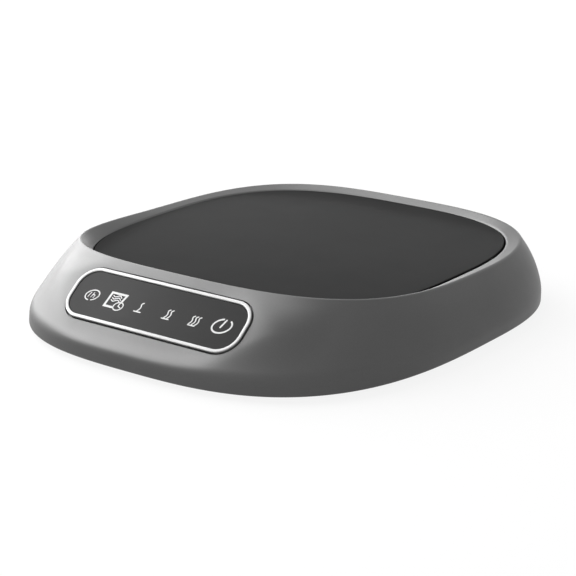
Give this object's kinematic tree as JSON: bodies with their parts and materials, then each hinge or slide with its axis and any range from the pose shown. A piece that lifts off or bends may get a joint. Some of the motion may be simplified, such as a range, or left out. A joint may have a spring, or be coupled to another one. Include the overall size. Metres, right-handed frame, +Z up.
{
  "type": "electric mug warmer",
  "caption": "Electric mug warmer: a dark glass heating plate floats on springs in a rounded-square housing with a sloping touch control panel at the front.",
  "frame": {"origin": "bottom centre of the whole object, on the plane that its rubber feet stand on", "axes": "+Z up, -Y towards the front with the control panel, +X to the right seen from the front, +Y along the longest side"},
  "size_m": [0.1344, 0.1437, 0.0237],
  "materials": {
    "housing_plastic": "satin metallic grey moulding",
    "base_plastic": "fine matte black moulding",
    "foot_rubber": "soft matte rubber",
    "zinc_steel": "zinc-plated steel",
    "bright_trim": "satin bright metallised trim",
    "lens_plastic": "smooth dark grey lens",
    "white_plastic": "white light baffle",
    "board_laminate": "green solder mask",
    "led_resin": "clear white resin",
    "spring_steel": "bright drawn steel",
    "chip_resin": "black moulded resin",
    "nylon_natural": "natural nylon",
    "capacitor_sleeve": "dark blue sleeve",
    "terminal_green": "green terminal body",
    "fuse_metal": "tinned metal case",
    "ribbon_grey": "grey flat cable",
    "switch_black": "black switch body",
    "gland_rubber": "moulded soft black",
    "black_glass": "satin dark glass",
    "seal_silicone": "red-brown silicone",
    "spreader_aluminium": "rolled sheet",
    "heater_foil": "amber film over etched foil",
    "mica_wool": "pressed fibre pad",
    "carrier_plastic": "heat-resistant moulding",
    "sensor_bead": "coated sensor bead",
    "lead_insulation": "silicone-insulated lead",
    "plunger_red": "red switch plunger"
  },
  "bodies": {
    "housing": {"housing_shell": "housing_plastic", "base_cover": "base_plastic", "rubber_feet": "foot_rubber", "case_screws": "zinc_steel", "trim_ring": "bright_trim", "panel_lens": "lens_plastic", "light_baffle": "white_plastic", "control_board": "board_laminate", "indicator_leds": "led_resin", "touch_springs": "spring_steel", "control_chip": "chip_resin", "panel_connector": "nylon_natural", "control_board_screws": "zinc_steel", "power_board": "board_laminate", "filter_capacitor": "capacitor_sleeve", "terminal_block": "terminal_green", "bridge_rectifier": "chip_resin", "power_triac": "chip_resin", "line_fuse": "fuse_metal", "regulator_chip": "chip_resin", "board_connectors": "nylon_natural", "power_board_screws": "zinc_steel", "ribbon_cable": "ribbon_grey", "weight_switch": "switch_black", "cord_gland": "gland_rubber", "cord_clamp": "nylon_natural", "cord_clamp_screws": "zinc_steel", "plate_springs": "spring_steel", "heater_leads": "lead_insulation"},
    "plate": {"plate_glass": "black_glass", "glass_seal": "seal_silicone", "heat_spreader": "spreader_aluminium", "heater_element": "heater_foil", "insulation_pad": "mica_wool", "plate_carrier": "carrier_plastic", "thermistor": "sensor_bead", "thermal_fuse": "fuse_metal", "sensor_straps": "spring_steel", "strap_rivets": "zinc_steel"},
    "plunger": {"switch_plunger": "plunger_red"}
  },
  "joints": [
    {"name": "plate_press", "type": "slide", "parent": "housing", "child": "plate", "axis": [0, 0, -1], "range_m": [0, 0.0012], "stiffness_N_per_m": 1000, "springref_m": -0.0026, "deforming": ["plate_springs", "heater_leads"]},
    {"name": "switch_press", "type": "slide", "parent": "housing", "child": "plunger", "axis": [0, 0, -1], "range_m": [0, 0.0012]}
  ],
  "couplings": [
    {"joint": "switch_press", "follows": "plate_press", "ratio": 1}
  ]
}
